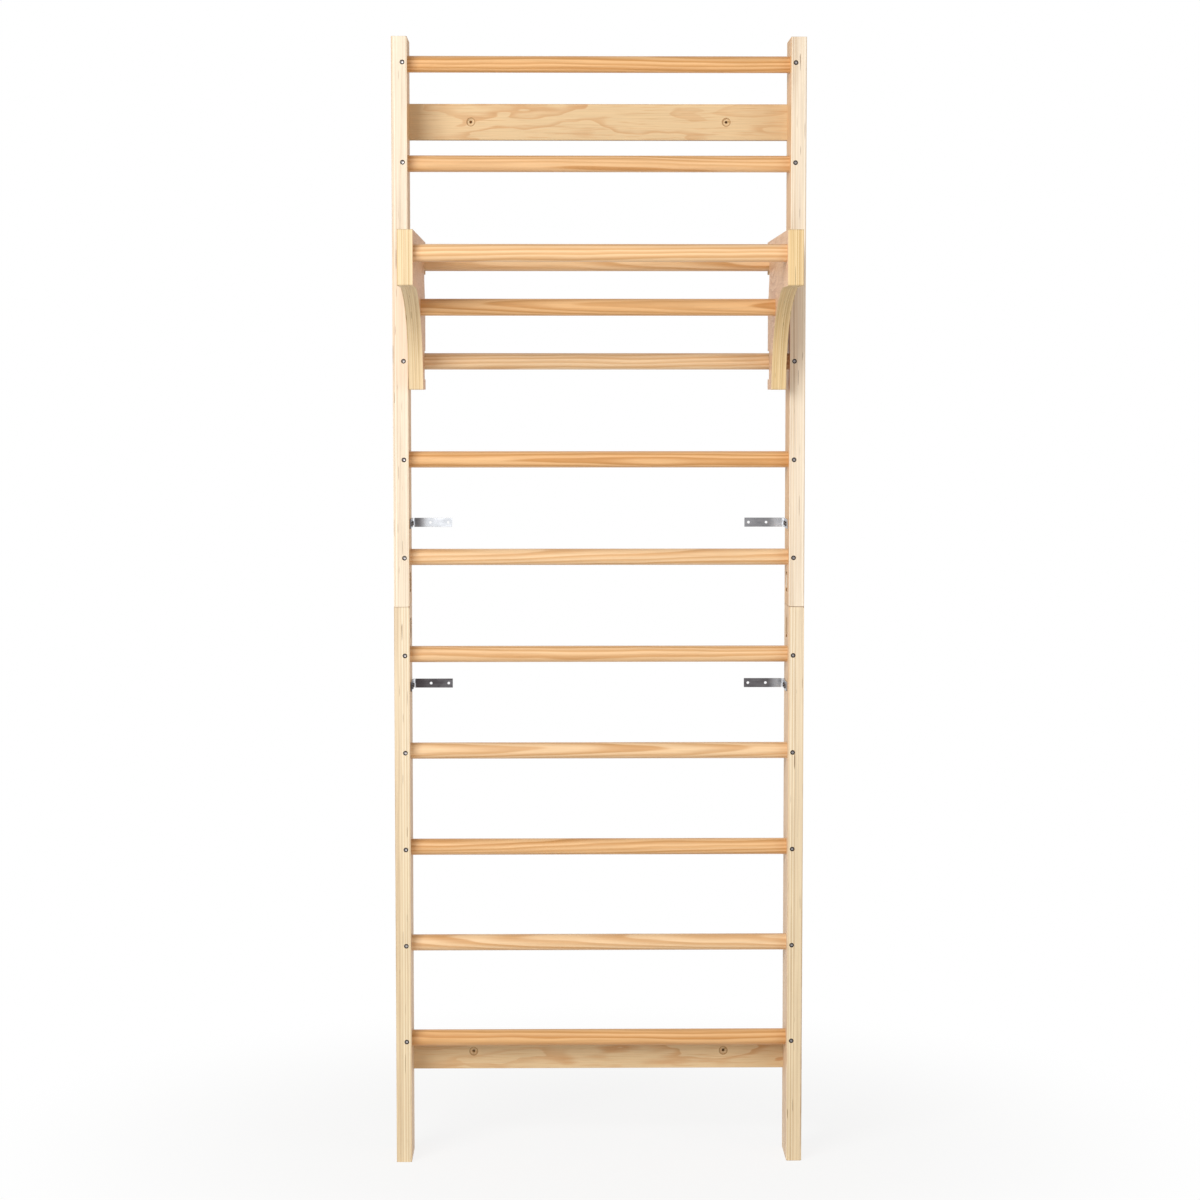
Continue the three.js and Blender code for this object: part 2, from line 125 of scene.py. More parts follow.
# Colours, as they show in plain light
PINE_TONES = {"early": "#f1cea2", "warm": "#e7b173", "late": "#c78c4c"}
UPRIGHT_TONES = {
    "pale": "#faedda", "toned_edge": "#efddba", "dark": "#dfc49b", "line": "#9c7043", "slit": "#7d5833",
    "face": "#efc695", "toned_face": "#f4dcbe", "vein": "#cfa274",
}
# For the pull-up plates, the tone between these colours paints light and shade, plate by plate
UNIT_TONES = {
    "pale": "#f0ddbc", "toned_edge": "#ead09c", "dark": "#e2bd84", "line": "#94692f", "slit": "#75522a",
    "face": "#dfa873", "toned_face": "#f3d2b2", "vein": "#c9966c",
}
RAIL_TONES = {
    "pale": "#d9b67e", "toned_edge": "#d9b980", "dark": "#b98f55", "line": "#94693a", "slit": "#7a5632",
    "face": "#e0c398", "toned_face": "#e0c398", "vein": "#c48b56",
}
# Zinc and steel run from a dull to a bright colour; brushing and clouds are their own, and the tones between
# them paint reflections
ZINC_TONES = {"dull": "#4f4a4c", "bright": "#e4e7ec"}
STEEL_TONES = {"dull": "#3a3432", "bright": "#c6c1c0"}

# How screen levels turn into linear light
SCREEN_WHITE = 255
SCREEN_KNEE = 0.04045
SCREEN_SLOPE = 12.92
SCREEN_LIFT = 0.055
SCREEN_POWER = 2.4

# Kinds of noise, as detail and roughness, and how far apart the pieces lie in it
SMOOTH_NOISE = (1.0, 0.5)
PLAIN_NOISE = (2.0, 0.5)
CLOUD_NOISE = (3.0, 0.5)
HILL_NOISE = (3.0, 0.45)
BRUSH_NOISE = (3.0, 0.6)
FIBRE_NOISE = (3.0, 0.65)
PINE_SPREAD = 91.0
PLY_SPREAD = 57.0
METAL_SPREAD = 23.0
GOLDEN_PART = 0.6180339887

# Ranges of the fibres and clouds that shade a surface or change its sheen
FIBRE_SHADING = (0.3, 0.7)
FIBRE_SHEEN = (0.2, 0.8)
CLOUD_SHEEN = (0.3, 0.7)

# Piece properties that the finishes read: own grain, tone, and the side of an angle's bend with the
# reflection painted near it
GRAIN = "grain"
TONE = "tone"
BEND_SIDE = "bend_side"
BEND_REFLECTION_PROPERTY = "bend_painted_reflection"
UPRIGHT_AGE = {"upper": 0.0, "lower": 0.8}
# Painted light on the pull-up plates: the left plate's lower tone shows it shaded, the right plate's higher
# tone shows it lit
UNIT_PAINTED_LIGHT = {"left": 0.25, "right": 0.65}
# Rung tones vary from rung to rung; rung 04's palest tone is painted light against the shadow that the
# pull-up unit casts on it
RUNG_WARMTH = dict.fromkeys(RUNGS, 0.35) | {
    "01": 0.75, "02": 0.5, "05": 0.7, "09": 0.6, "11": 0.8,
    "04": 0.0, "06": 0.15, "08": 0.1, "10": 0.1,
}
GRIP_WARMTH = 0.3
BRACE_WARMTH = 0.75
# Painted reflection on the wall angles: the same zinc brighter or darker for each piece
ANGLE_PAINTED_REFLECTION = {
    ("upper", "left"): 0.90, ("upper", "right"): 0.22, ("lower", "left"): 0.04, ("lower", "right"): 0.06,
}
# Painted reflection near each angle's bend, darker or brighter
BEND_PAINTED_REFLECTION = {
    ("upper", "left"): -0.75, ("upper", "right"): 0.40, ("lower", "left"): -0.05, ("lower", "right"): 0.40,
}
# Painted reflection on the rung screws: brighter on the left than on the right
SCREW_PAINTED_REFLECTION = {"left": 0.7, "right": 0.3}

# Surroundings, floor and lights
WHITE = (1.0, 1.0, 1.0, 1.0)
WORLD_TINT = (1.0, 0.985, 0.96, 1.0)
WORLD_LIGHT = 0.35
FLOOR_TINT = (0.85, 0.84, 0.82, 1.0)
FLOOR_HALF = 30.0
FLOOR_SHADOW = 0.15
FLOOR_NEAR = 0.4
FLOOR_FAR = 1.4
LIGHT_TARGET = (0, 0, 1.1)
LIGHTS = {
    "key": {"place": (-2.5, -4.4, 3.0), "size": 2.8, "power": 195},
    "fill": {"place": (3.4, -4.0, 1.6), "size": 2.6, "power": 50},
}


# Shapes

def lathe(profile, sides):
    """Closed solid turned about Z from (radius, height) points, whose first and last lie on the axis."""
    bm = bmesh.new()
    rings = []
    for radius, height in profile:
        if radius == 0:
            rings.append([bm.verts.new((0, 0, height))])
            continue
        angles = [2 * math.pi * i / sides for i in range(sides)]
        rings.append([bm.verts.new((radius * math.cos(a), radius * math.sin(a), height)) for a in angles])
    for below, above in zip(rings, rings[1:]):
        for i in range(sides):
            corners = [below[i % len(below)], below[(i + 1) % sides % len(below)]]
            corners += [above[(i + 1) % sides % len(above)], above[i % len(above)]]
            bm.faces.new(list(dict.fromkeys(corners)))
    bmesh.ops.recalc_face_normals(bm, faces=bm.faces)
    return bm


def moved(bm, matrix):
    bmesh.ops.transform(bm, matrix=matrix, verts=bm.verts)
    return bm


def along_x():
    return Matrix.Rotation(math.pi / 2, 4, "Y")


def along_y():
    return Matrix.Rotation(-math.pi / 2, 4, "X")


def along_minus_y():
    return Matrix.Rotation(math.pi / 2, 4, "X")


def from_node(node):
    """The node's solid as welded flat faces, in place."""
    bm = bmesh.new()
    bm.from_mesh(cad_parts[node].data)
    bmesh.ops.remove_doubles(bm, verts=bm.verts, dist=WELD)
    bmesh.ops.dissolve_limit(bm, angle_limit=FLAT_ANGLE, verts=bm.verts, edges=bm.edges)
    bmesh.ops.recalc_face_normals(bm, faces=bm.faces)
    return bm


def is_sharp(edge):
    return len(edge.link_faces) == 2 and edge.calc_face_angle() > SHARP_EDGE


def lies_on(edge, axis, places):
    """True if the whole edge lies at one of the places on that axis."""
    return any(all(abs(vert.co[axis] - place) < ON_FACE for vert in edge.verts) for place in places)


def sharp_edges(bm, axis, places):
    """The sharp edges that lie whole at one of the places on that axis."""
    return [e for e in bm.edges if is_sharp(e) and lies_on(e, axis, places)]


def round_edges(bm, edges, radius):
    bmesh.ops.bevel(
        bm, geom=edges, offset=radius, offset_type="OFFSET", segments=EDGE_STEPS,
        profile=ROUND_PROFILE, affect="EDGES", clamp_overlap=True,
    )
    return bm


def combined(mesh, other, operation):
    """The mesh joined with, or cut by, another closed solid."""
    other_mesh = mesh_of("other", other)
    tool = bpy.data.objects.new("other", other_mesh)
    blank = bpy.data.objects.new("blank", mesh)
    for obj in (tool, blank):
        bpy.context.scene.collection.objects.link(obj)
    boolean = blank.modifiers.new("combine", "BOOLEAN")
    boolean.operation = operation
    boolean.solver = "EXACT"
    boolean.object = tool
    graph = bpy.context.evaluated_depsgraph_get()
    result = bpy.data.meshes.new_from_object(blank.evaluated_get(graph))
    for obj in (tool, blank):
        bpy.data.objects.remove(obj)
    return result


def mesh_of(name, bm):
    mesh = bpy.data.meshes.new(name)
    bm.to_mesh(mesh)
    bm.free()
    return mesh


def centre_of(node):
    low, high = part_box(node)
    return (low + high) / 2


def add_piece(node, mesh, place, body, material, tone=0.0):
    """One visible piece that stands for a node, with its mesh given about its place."""
    mesh.materials.clear()
    mesh.materials.append(material)
    for polygon in mesh.polygons:
        polygon.use_smooth = True
    mesh.set_sharp_from_angle(angle=SMOOTH_BELOW)
    piece = bpy.data.objects.new(f"{node}_finished", mesh)
    piece.location = place
    bpy.context.scene.collection.objects.link(piece)
    flatten = piece.modifiers.new("flat faces", "WEIGHTED_NORMAL")
    flatten.keep_sharp = True
    piece[GRAIN] = grain_of(node)
    piece[TONE] = tone
    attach(piece, body)
    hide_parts(node)
    return piece


def add_shaped(node, bm, body, material, tone=0.0):
    """One visible piece made from its node's own solid, which lies in place."""
    place = centre_of(node)
    moved(bm, Matrix.Translation(-place))
    return add_piece(node, mesh_of(node, bm), place, body, material, tone)


def grain_of(node):
    """A number from 0 to 1 that stays the same for a node, so that no two pieces share their grain."""
    total = sum((i + 1) * ord(letter) for i, letter in enumerate(node))
    return total * GOLDEN_PART % 1.0


# Finishes

def linear(level):
    """Linear light of a screen level from 0 to 1."""
    if level <= SCREEN_KNEE:
        return level / SCREEN_SLOPE
    return ((level + SCREEN_LIFT) / (1 + SCREEN_LIFT)) ** SCREEN_POWER


def colour(code):
    """Linear colour of a screen colour code."""
    return [linear(int(code[i:i + 2], 16) / SCREEN_WHITE) for i in (1, 3, 5)] + [1.0]


class Graph:
    """A material's nodes: what every finish reads, and one method for each kind that the finishes use."""

    def __init__(self, name, spread):
        self.material = bpy.data.materials.new(name)
        self.material.use_nodes = True
        self.tree = self.material.node_tree
        self.tree.nodes.clear()
        self.surface = self.tree.nodes.new("ShaderNodeBsdfPrincipled")
        output = self.tree.nodes.new("ShaderNodeOutputMaterial")
        self.tree.links.new(self.surface.outputs["BSDF"], output.inputs["Surface"])
        self.coordinates = self.tree.nodes.new("ShaderNodeTexCoord")
        self.parts = self.split(self.coordinates.outputs["Object"])
        self.seed = self.piece_value(GRAIN)
        self.tone = self.piece_value(TONE)
        self.shift = self.math("MULTIPLY", self.seed, spread)

    def put(self, socket, value):
        if isinstance(value, bpy.types.NodeSocket):
            self.tree.links.new(value, socket)
        else:
            socket.default_value = value

    def set(self, **values):
        for name, value in values.items():
            self.put(self.surface.inputs[name.replace("_", " ")], value)

    def facing(self, axis):
        return self.split(self.coordinates.outputs["Normal"])[axis]

    def piece_value(self, name):
        node = self.tree.nodes.new("ShaderNodeAttribute")
        node.attribute_type = "OBJECT"
        node.attribute_name = name
        return node.outputs["Fac"]

    def math(self, operation, *values):
        node = self.tree.nodes.new("ShaderNodeMath")
        node.operation = operation
        for socket, value in zip(node.inputs, values):
            self.put(socket, value)
        return node.outputs[0]

    def distance(self, across, up):
        squares = [self.math("POWER", side, 2.0) for side in (across, up)]
        return self.math("SQRT", self.math("ADD", *squares))

    def split(self, vector):
        node = self.tree.nodes.new("ShaderNodeSeparateXYZ")
        self.put(node.inputs[0], vector)
        return list(node.outputs)

    def join(self, *values):
        node = self.tree.nodes.new("ShaderNodeCombineXYZ")
        for socket, value in zip(node.inputs, values):
            self.put(socket, value)
        return node.outputs[0]

    def noise(self, axis, scale, kind, extra=0.0):
        """Noise with one scale per metre along an axis and another across it, shifted for each piece."""
        along, across = scale
        scales = [along if i == axis else across for i in (X, Y, Z)]
        drawn = [self.math("MULTIPLY", part, factor) for part, factor in zip(self.parts, scales)]
        drawn[axis] = self.math("ADD", drawn[axis], self.math("ADD", self.shift, extra))
        node = self.tree.nodes.new("ShaderNodeTexNoise")
        self.put(node.inputs["Vector"], self.join(*drawn))
        self.put(node.inputs["Scale"], 1.0)
        for name, value in zip(("Detail", "Roughness"), kind):
            self.put(node.inputs[name], value)
        return node.outputs["Fac"]

    def chance(self, value):
        node = self.tree.nodes.new("ShaderNodeTexWhiteNoise")
        node.noise_dimensions = "1D"
        self.put(node.inputs["W"], value)
        return node.outputs["Value"]

    def fade(self, value, low, high, start=0.0, end=1.0):
        node = self.tree.nodes.new("ShaderNodeMapRange")
        node.interpolation_type = "SMOOTHSTEP"
        for socket, number in zip(node.inputs, (value, low, high, start, end)):
            self.put(socket, number)
        return node.outputs[0]

    def mix(self, amount, first, second, kind="MIX"):
        node = self.tree.nodes.new("ShaderNodeMix")
        node.data_type = "RGBA"
        node.blend_type = kind
        self.put(node.inputs["Factor"], amount)
        self.put(node.inputs["A"], first)
        self.put(node.inputs["B"], second)
        return node.outputs["Result"]

    def bump(self, height, distance, strength):
        node = self.tree.nodes.new("ShaderNodeBump")
        self.put(node.inputs["Height"], height)
        self.put(node.inputs["Distance"], distance)
        self.put(node.inputs["Strength"], strength)
        self.put(self.surface.inputs["Normal"], node.outputs[0])


def dress_wood(g, wood, fibre, shades, roughness):
    """Sets the wood's colour, darkened and lightened by its fibres, and its roughness."""
    shade = g.fade(fibre, *FIBRE_SHADING, *shades)
    shaded = g.mix(1.0, wood, g.join(shade, shade, shade), "MULTIPLY")
    g.set(Base_Color=shaded, Roughness=g.fade(fibre, *FIBRE_SHEEN, *roughness))


def pine():
    """Turned pine: growth rings round a heart that runs a little askew beside the rod, with fine fibres."""
    heart_near, heart_spread, heart_turns = 22 * MM, 45 * MM, 4
    lean = 0.030
    ring, wander = 8.0 * MM, 15 * MM
    drift_scale, fibre_scale, streak_scale = (3.4, 24.0), (9.0, 650.0), (3.5, 130.0)
    late_rise, late_fall = (0.15, 0.80), (1.0, 0.84)
    late_least, late_spread, late_warm, late_relief = 0.25, 0.45, 0.35, 0.5
    streak_shown = (0.50, 0.78, 0.0, 0.35)
    tones = {part: colour(code) for part, code in PINE_TONES.items()}

    g = Graph("pine", PINE_SPREAD)
    turn = g.math("MULTIPLY", g.seed, heart_turns * 2 * math.pi)
    reach = g.math("MULTIPLY_ADD", g.chance(g.shift), heart_spread, heart_near)
    tilt = g.math("MULTIPLY", g.parts[X], g.math("MULTIPLY_ADD", g.chance(turn), 2 * lean, -lean))
    heart_y = g.math("MULTIPLY_ADD", g.math("COSINE", turn), reach, g.math("ADD", g.parts[Y], tilt))
    heart_z = g.math("MULTIPLY_ADD", g.math("SINE", turn), reach, g.math("SUBTRACT", g.parts[Z], tilt))
    drift = g.noise(X, drift_scale, PLAIN_NOISE)
    away = g.math("MULTIPLY_ADD", drift, wander, g.distance(heart_y, heart_z))
    phase = g.math("DIVIDE", away, ring)
    year = g.math("FRACT", phase)
    late = g.math("MULTIPLY", g.fade(year, *late_rise), g.fade(year, *late_fall))
    depth = g.math("MULTIPLY_ADD", g.chance(g.math("FLOOR", phase)), late_spread, late_least)
    late = g.math("MULTIPLY", late, g.math("MULTIPLY_ADD", g.tone, late_warm, depth))
    fibre = g.noise(X, fibre_scale, FIBRE_NOISE)
    streak = g.noise(X, streak_scale, PLAIN_NOISE)
    wood = g.mix(late, g.mix(g.tone, tones["early"], tones["warm"]), tones["late"])
    wood = g.mix(g.fade(streak, *streak_shown), wood, tones["late"])
    dress_wood(g, wood, fibre, shades=(0.93, 1.05), roughness=(0.50, 0.38))
    g.set(Coat_Weight=0.15, Coat_Roughness=0.25, Specular_IOR_Level=0.4)
    g.bump(g.math("MULTIPLY_ADD", late, late_relief, fibre), distance=0.15 * MM, strength=0.35)
    return g.material


def ply_edges(g, stack, tones, ply, patch):
    """The plies, light and dark by turns, with a few open slits, and the brown glue lines by themselves."""
    wave_scale, wave_height = (40.0, 5.0), 0.8 * MM
    own_depth, turn_depth, least_depth, toned_depth = 0.55, 0.9, 0.5, 0.5
    glue_width, glue_odds, glue_patches = (0.22, 0.46), (0.10, 0.85, 0.15, 0.95), (0.36, 0.60, 0.25, 1.0)
    slit_scale, slit_shift, slit_shown = (420.0, 14.0), 9.0, (0.725, 0.76, 0.0, 0.9)

    wave = g.noise(stack, wave_scale, SMOOTH_NOISE)
    level = g.math("DIVIDE", g.math("MULTIPLY_ADD", wave, wave_height, g.parts[stack]), ply)
    index = g.math("FLOOR", level)
    turn = g.math("FRACT", g.math("MULTIPLY", index, 0.5))
    own = g.chance(g.math("ADD", index, g.shift))
    deep = g.math("MULTIPLY_ADD", own, own_depth, g.math("MULTIPLY", turn, turn_depth))
    # The tone deepens the plies and moves the colours towards the toned ones; on the pull-up plates this
    # paints light and shade
    deep = g.math("MULTIPLY", deep, g.math("MULTIPLY_ADD", g.tone, toned_depth, least_depth))
    edge = g.mix(deep, g.mix(g.tone, tones["pale"], tones["toned_edge"]), tones["dark"])
    from_middle = g.math("ABSOLUTE", g.math("SUBTRACT", g.math("FRACT", level), 0.5))
    glue = g.math("MULTIPLY", g.fade(from_middle, *glue_width), g.fade(own, *glue_odds))
    glue = g.math("MULTIPLY", glue, g.fade(patch, *glue_patches))
    edge = g.mix(glue, edge, tones["line"])
    slit = g.noise(stack, slit_scale, SMOOTH_NOISE, slit_shift)
    return g.mix(g.fade(slit, *slit_shown), edge, tones["slit"]), glue


def painted_rim_shade(g, edge, grain, tones):
    """The edge colour, with a dark line of painted shade along the rounded rims at both ends, as in the seam
    between an upright's halves.
    """
    rim_start, rim_end = (0.15, 0.45), (1.0, 0.97, 0.0, 0.95)
    facing = g.math("ABSOLUTE", g.facing(grain))
    rim = g.math("MULTIPLY", g.fade(facing, *rim_start), g.fade(facing, *rim_end))
    return g.mix(rim, edge, tones["line"])


def sliced_faces(g, grain, tones, slicing, patch):
    """Sliced grain, as contour lines and islands between fine pores."""
    vein_end, vein_patches = 0.95, (0.35, 0.65, 0.20, 0.65)
    pore_scale, pore_shift, pore_shown = (18.0, 520.0), 3.0, (0.55, 0.70, 0.0, 0.35)

    hill = g.noise(grain, slicing["scale"], HILL_NOISE)
    contour = g.math("FRACT", g.math("MULTIPLY", hill, slicing["lines"]))
    vein = g.math("MULTIPLY", g.fade(contour, slicing["vein"], vein_end), g.fade(contour, 1.0, vein_end))
    vein = g.math("MULTIPLY", vein, g.fade(patch, *vein_patches))
    face = g.mix(vein, g.mix(g.tone, tones["face"], tones["toned_face"]), tones["vein"])
    pore = g.noise(grain, pore_scale, PLAIN_NOISE, pore_shift)
    return g.mix(g.fade(pore, *pore_shown), face, tones["vein"])


def hole_rings(g, face, tones):
    """The face colour, with a thin dark ring round each hole of a rail, in the front face only."""
    front = (-0.2, -0.6)
    aside = g.math("SUBTRACT", g.math("ABSOLUTE", g.parts[X]), HOLES_APART / 2)
    off_line = g.math("ABSOLUTE", g.math("SUBTRACT", g.distance(aside, g.parts[Z]), MARK_RADIUS))
    line = g.fade(off_line, MARK_WIDTH, MARK_CORE, 0.0, MARK_DEPTH)
    return g.mix(g.math("MULTIPLY", line, g.fade(g.facing(Y), *front)), face, tones["line"])


def plywood(name, stack, grain, codes, ply, slicing, ringed=False, graded_with_rim_shade=False):
    """Plywood: flat faces show sliced grain, and the other faces show plies stacked along one axis."""
    patch_scale, end_scale, face_scale = (90.0, 4.0), (700.0, 10.0), (10.0, 700.0)
    age_along = (0.55, -0.30, 0.55, 1.10)
    flat_from = (0.60, 0.85)
    tones = {part: colour(code) for part, code in codes.items()}

    g = Graph(name, PLY_SPREAD)
    if graded_with_rim_shade:
        g.tone = g.math("MULTIPLY", g.tone, g.fade(g.parts[grain], *age_along))
    patch = g.noise(stack, patch_scale, PLAIN_NOISE)
    edge, glue = ply_edges(g, stack, tones, ply, patch)
    # Painted shade: a dark line along the rounded end rims, as in the seam between an upright's halves
    if graded_with_rim_shade:
        edge = painted_rim_shade(g, edge, grain, tones)
    face = sliced_faces(g, grain, tones, slicing, patch)
    if ringed:
        face = hole_rings(g, face, tones)
    flat = g.fade(g.math("ABSOLUTE", g.facing(stack)), *flat_from)
    end_fibre = g.noise(stack, end_scale, FIBRE_NOISE)
    face_fibre = g.noise(grain, face_scale, FIBRE_NOISE)
    fibre = g.math("MULTIPLY_ADD", flat, g.math("SUBTRACT", face_fibre, end_fibre), end_fibre)
    dress_wood(g, g.mix(flat, edge, face), fibre, shades=(0.94, 1.04), roughness=(0.56, 0.42))
    g.set(Coat_Weight=0.03, Coat_Roughness=0.30, Specular_IOR_Level=0.2)
    g.bump(g.math("SUBTRACT", fibre, glue), distance=0.15 * MM, strength=0.35)
    return g.material


def plated(name, tones, axis):
    """Plated steel: brushed along one axis and cloudy, with painted reflection in each piece's tone and near
    the bend, and a painted highlight along the crease.
    """
    brush_scale, cloud_scale = (30.0, 2600.0), (45.0, 90.0)
    brush_part, cloud_part, middle = 0.25, 0.20, 0.22
    bend_reflection_range = (6 * MM, 28 * MM)
    crease_start, crease_end = (33.0 * MM, 34.5 * MM), (37.8 * MM, 37.2 * MM)
    roughness = (0.22, 0.38)

    g = Graph(name, METAL_SPREAD)
    brush = g.noise(axis, brush_scale, BRUSH_NOISE)
    cloud = g.noise(axis, cloud_scale, CLOUD_NOISE)
    uneven = g.math("MULTIPLY_ADD", brush, brush_part, g.math("MULTIPLY", cloud, cloud_part))
    level = g.math("ADD", g.math("SUBTRACT", uneven, middle), g.tone)
    # Painted reflection, darker or brighter, towards the bend
    reach = g.math("MULTIPLY", g.parts[X], g.piece_value(BEND_SIDE))
    level = g.math("MULTIPLY_ADD", g.fade(reach, *bend_reflection_range), g.piece_value(BEND_REFLECTION_PROPERTY), level)
    # Painted highlight along the inside of the bend
    painted_crease_highlight = g.math("MULTIPLY", g.fade(reach, *crease_start), g.fade(reach, *crease_end))
    level = g.math("MAXIMUM", level, painted_crease_highlight)
    g.set(Base_Color=g.mix(level, colour(tones["dull"]), colour(tones["bright"])))
    g.set(Metallic=1.0, Roughness=g.fade(cloud, *CLOUD_SHEEN, *roughness))
    g.bump(brush, distance=0.04 * MM, strength=0.4)
    return g.material


def screw_steel(name, tones):
    """Screw steel about its own axis: painted shade at the rim and a bright painted reflection in the middle,
    stronger by the piece's tone.
    """
    cloud_scale = (300.0, 500.0)
    rim_wander, rim_shade_range = 1.0 * MM, (3.3 * MM, 2.3 * MM)
    least_reflection, toned_reflection = 0.2, 0.8
    roughness = (0.28, 0.45)

    g = Graph(name, METAL_SPREAD)
    cloud = g.noise(Y, cloud_scale, CLOUD_NOISE)
    # Painted shade towards the rim, and painted reflection in the middle
    radius = g.math("MULTIPLY_ADD", cloud, rim_wander, g.distance(g.parts[X], g.parts[Z]))
    painted_reflection = g.math("MULTIPLY_ADD", g.tone, toned_reflection, least_reflection)
    painted_reflection = g.math("MULTIPLY", g.fade(radius, *rim_shade_range), painted_reflection)
    g.set(Base_Color=g.mix(painted_reflection, colour(tones["dull"]), colour(tones["bright"])))
    g.set(Metallic=1.0, Roughness=g.fade(cloud, *CLOUD_SHEEN, *roughness))
    g.bump(cloud, distance=0.05 * MM, strength=0.4)
    return g.material


pine_finish = pine()
upright_finish = plywood("upright plywood", X, Z, UPRIGHT_TONES, UPRIGHT_PLY, BROAD_SLICING, graded_with_rim_shade=True)
unit_finish = plywood("unit plywood", X, Y, UNIT_TONES, UNIT_PLY, BROAD_SLICING)
rail_finish = plywood("rail plywood", Y, X, RAIL_TONES, RAIL_PLY, RAIL_SLICING, ringed=True)
zinc_finish = plated("bright zinc", ZINC_TONES, X)
steel_finish = screw_steel("screw steel", STEEL_TONES)


# Uprights, with rounded long edges and crisp ends

def add_upright(storey, side):
    node = f"upright_{storey}_{side}"
    low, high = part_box(node)
    bm = from_node(node)
    sides = sharp_edges(bm, X, (low.x, high.x))
    round_edges(bm, [e for e in sides if lies_on(e, Y, (low.y, high.y))], UPRIGHT_EDGE)
    round_edges(bm, sharp_edges(bm, Z, (low.z, high.z)), UPRIGHT_END_EDGE)
    add_shaped(node, bm, FRAME_BODY, upright_finish, UPRIGHT_AGE[storey])


for storey in STOREYS:
    for side in SIDES:
        add_upright(storey, side)


# Rungs and bars

def rod_mesh(name, length, radius):
    half = length / 2
    inner = half - SEAT_LENGTH
    profile = [(0, -half), (radius - ROD_END_EDGE, -half), (radius, -half + ROD_END_EDGE), (radius, -inner)]
    profile += [(r, -z) for r, z in reversed(profile)]
    return mesh_of(name, moved(lathe(profile, ROD_SIDES), along_x()))


def rung_mesh(node):
    """One rung with its two pilot holes. All the rungs share it."""
    low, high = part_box(node)
    radius = (high.z - low.z) / 2
    mesh = rod_mesh("rung", high.x - low.x, radius)
    for side in SIDES:
        screw_low, screw_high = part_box(node.replace("rung_", f"rung_screw_{side}_"))
        tip = screw_high.y - centre_of(node).y + FIT_GAP
        pilot = [(0, -2 * radius), (PILOT_RADIUS, -2 * radius), (PILOT_RADIUS, tip), (0, tip)]
        cutter = moved(lathe(pilot, SCREW_SIDES), along_y())
        x = (screw_low.x + screw_high.x) / 2
        mesh = combined(mesh, moved(cutter, Matrix.Translation((x, 0, 0))), "DIFFERENCE")
    return mesh


def add_bar(node, tone):
    low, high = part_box(node)
    mesh = rod_mesh(node, high.x - low.x, (high.z - low.z) / 2)
    add_piece(node, mesh, centre_of(node), UNIT_BODY, pine_finish, tone)


shared_rung = rung_mesh("rung_01")
for number in RUNGS:
    node = f"rung_{number}"
    add_piece(node, shared_rung, centre_of(node), FRAME_BODY, pine_finish, RUNG_WARMTH[number])
add_bar("pull_up_grip_bar", GRIP_WARMTH)
add_bar("pull_up_brace_bar", BRACE_WARMTH)


# Screws with a rounded head and a hexagon socket

def screw_mesh(name, size, length):
    """Along Z, with the underside of the head at zero and the head upwards."""
    head, height, shank = size["head"], size["height"], size["shank"]
    profile = [(0, -length), (SHANK_POINT, -length), (shank, -length + SHANK_TIP), (shank, 0), (head, 0)]
    for step in range(EDGE_STEPS + 1):
        angle = math.pi / 2 * step / EDGE_STEPS
        inset = HEAD_ROUNDING * (1 - math.cos(angle))
        profile.append((head - inset, height - HEAD_ROUNDING * (1 - math.sin(angle))))
    profile.append((0, height))
    mesh = mesh_of(name, lathe(profile, SCREW_SIDES))
    across = size["socket"] / 2 / math.cos(math.pi / HEX_SIDES)
    floor = height - size["deep"]
    socket = [(0, floor - SOCKET_CONE), (across, floor), (across, 2 * height), (0, 2 * height)]
    return combined(mesh, lathe(socket, HEX_SIDES), "DIFFERENCE")


def add_rung_screws():
    low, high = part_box("rung_screw_left_01")
    length = high.y - low.y - RUNG_SCREW["height"]
    mesh = screw_mesh("rung_screw", RUNG_SCREW, length)
    mesh.transform(along_minus_y())
    for side in SIDES:
        for number in RUNGS:
            node = f"rung_screw_{side}_{number}"
            place = centre_of(node)
            place.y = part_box(node)[0].y + RUNG_SCREW["height"]
            # Each side's tone paints the screw heads' reflection
            add_piece(node, mesh, place, FRAME_BODY, steel_finish, SCREW_PAINTED_REFLECTION[side])


def add_angle_screws():
    low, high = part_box("angle_screw_upper_left_back")
    length = high.x - low.x - ANGLE_SCREW["height"]
    for side, sign in SIDES.items():
        mesh = screw_mesh(f"angle_screw_{side}", ANGLE_SCREW, length)
        mesh.transform(Matrix.Rotation(-sign * math.pi / 2, 4, "Y"))
        for storey in STOREYS:
            for hole in ("back", "front"):
                node = f"angle_screw_{storey}_{side}_{hole}"
                place = centre_of(node)
                edge = min(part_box(node), key=lambda corner: abs(corner.x))
                place.x = edge.x + sign * ANGLE_SCREW["height"]
                add_piece(node, mesh, place, FRAME_BODY, steel_finish)


add_rung_screws()
add_angle_screws()


# Tie bolts, with a threaded end, and their nuts

def hexagon(bottom, top):
    radius = HEX_ACROSS / 2 / math.cos(math.pi / HEX_SIDES)
    bm = lathe([(0, bottom), (radius, bottom), (radius, top), (0, top)], HEX_SIDES)
    rims = [e for e in bm.edges if is_sharp(e)]
    return round_edges(bm, rims, HEX_EDGE)


